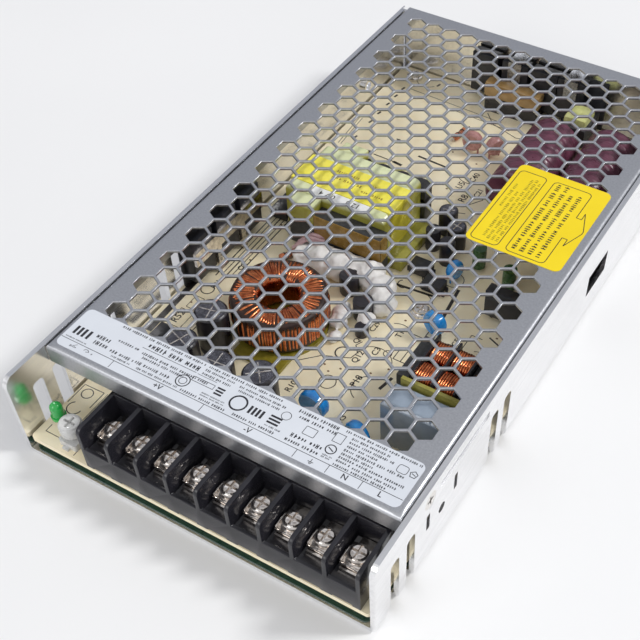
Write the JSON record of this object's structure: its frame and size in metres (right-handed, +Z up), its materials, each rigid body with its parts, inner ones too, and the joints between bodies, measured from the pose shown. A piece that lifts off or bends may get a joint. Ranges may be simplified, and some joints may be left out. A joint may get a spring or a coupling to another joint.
{
  "type": "mesh case switching power supply",
  "caption": "Slim enclosed switching power supply: folded metal case, hexagon mesh cover, and a barrier terminal strip along the open front edge.",
  "frame": {"origin": "bottom centre of the case, on its mounting face", "axes": "+X across the case to the right seen from the terminal end, +Y along it from the terminals to the rear, +Z up through the mesh cover"},
  "size_m": [0.115, 0.215, 0.0301],
  "materials": {
    "bare_aluminium": "brushed sheet",
    "cover_metal": "satin grey",
    "screw_steel": "bright zinc",
    "dark_film": "matte",
    "white_label": "satin",
    "yellow_label": "satin",
    "board_laminate": "satin",
    "black_moulding": "satin",
    "bright_steel": "bright",
    "green_lamp": "clear gloss",
    "trimmer_plastic": "satin",
    "white_plastic": "satin",
    "red_plastic": "satin",
    "ferrite": "matte",
    "cream_tape": "satin",
    "yellow_tape": "gloss",
    "iron_powder": "matte",
    "enamelled_copper": "gloss",
    "brown_board": "satin",
    "olive_board": "satin",
    "grey_moulding": "gloss",
    "blue_lacquer": "gloss",
    "can_sleeve": "gloss",
    "maroon_sleeve": "gloss",
    "black_sleeve": "gloss",
    "device_plastic": "matte",
    "grey_rubber": "matte",
    "tan_lacquer": "gloss",
    "red_lacquer": "satin",
    "green_lacquer": "satin",
    "white_ceramic": "gloss",
    "silicone": "matte"
  },
  "bodies": {
    "case": {"chassis": "bare_aluminium", "cover": "cover_metal", "cover_screws": "screw_steel", "insulation_sheet": "dark_film", "rating_label": "white_label", "selector_label": "yellow_label", "circuit_board": "board_laminate", "board_screws": "screw_steel", "terminal_housing": "black_moulding", "terminal_plates": "bright_steel", "terminal_clamps": "bright_steel", "terminal_screws": "screw_steel", "status_led": "green_lamp", "trimmer_body": "trimmer_plastic", "selector_body": "black_moulding", "transformer_core": "ferrite", "transformer_bobbin": "cream_tape", "transformer_tape": "yellow_tape", "output_choke_core": "iron_powder", "output_choke_winding": "enamelled_copper", "output_choke_base": "brown_board", "filter_choke_core": "ferrite", "filter_choke_winding": "enamelled_copper", "filter_divider": "olive_board", "x_capacitor": "grey_moulding", "y_capacitors": "blue_lacquer", "output_capacitors": "can_sleeve", "bulk_capacitors": "maroon_sleeve", "small_capacitors": "black_sleeve", "output_rectifiers": "device_plastic", "rectifier_clamp": "bright_steel", "power_switches": "device_plastic", "switch_clips": "bright_steel", "thermal_pads": "grey_rubber", "driver_core": "ferrite", "driver_winding": "cream_tape", "film_capacitor": "tan_lacquer", "optocouplers": "device_plastic", "thermistors": "red_lacquer", "green_resistors": "green_lacquer", "bridge_rectifier": "device_plastic", "fuse": "white_ceramic", "adhesive": "silicone"},
    "trimmer_rotor": {"trimmer_rotor": "white_plastic"},
    "selector_slider": {"selector_slider": "red_plastic"}
  },
  "joints": [
    {"name": "trimmer_turn", "type": "hinge", "parent": "case", "child": "trimmer_rotor", "pos_m": [-0.0436, -0.1014, 0.0065], "axis": [0, 0, 1], "range_deg": [-115, 115]},
    {"name": "selector_slide", "type": "slide", "parent": "case", "child": "selector_slider", "axis": [0, 1, 0], "range_m": [0, 0.0046]}
  ]
}
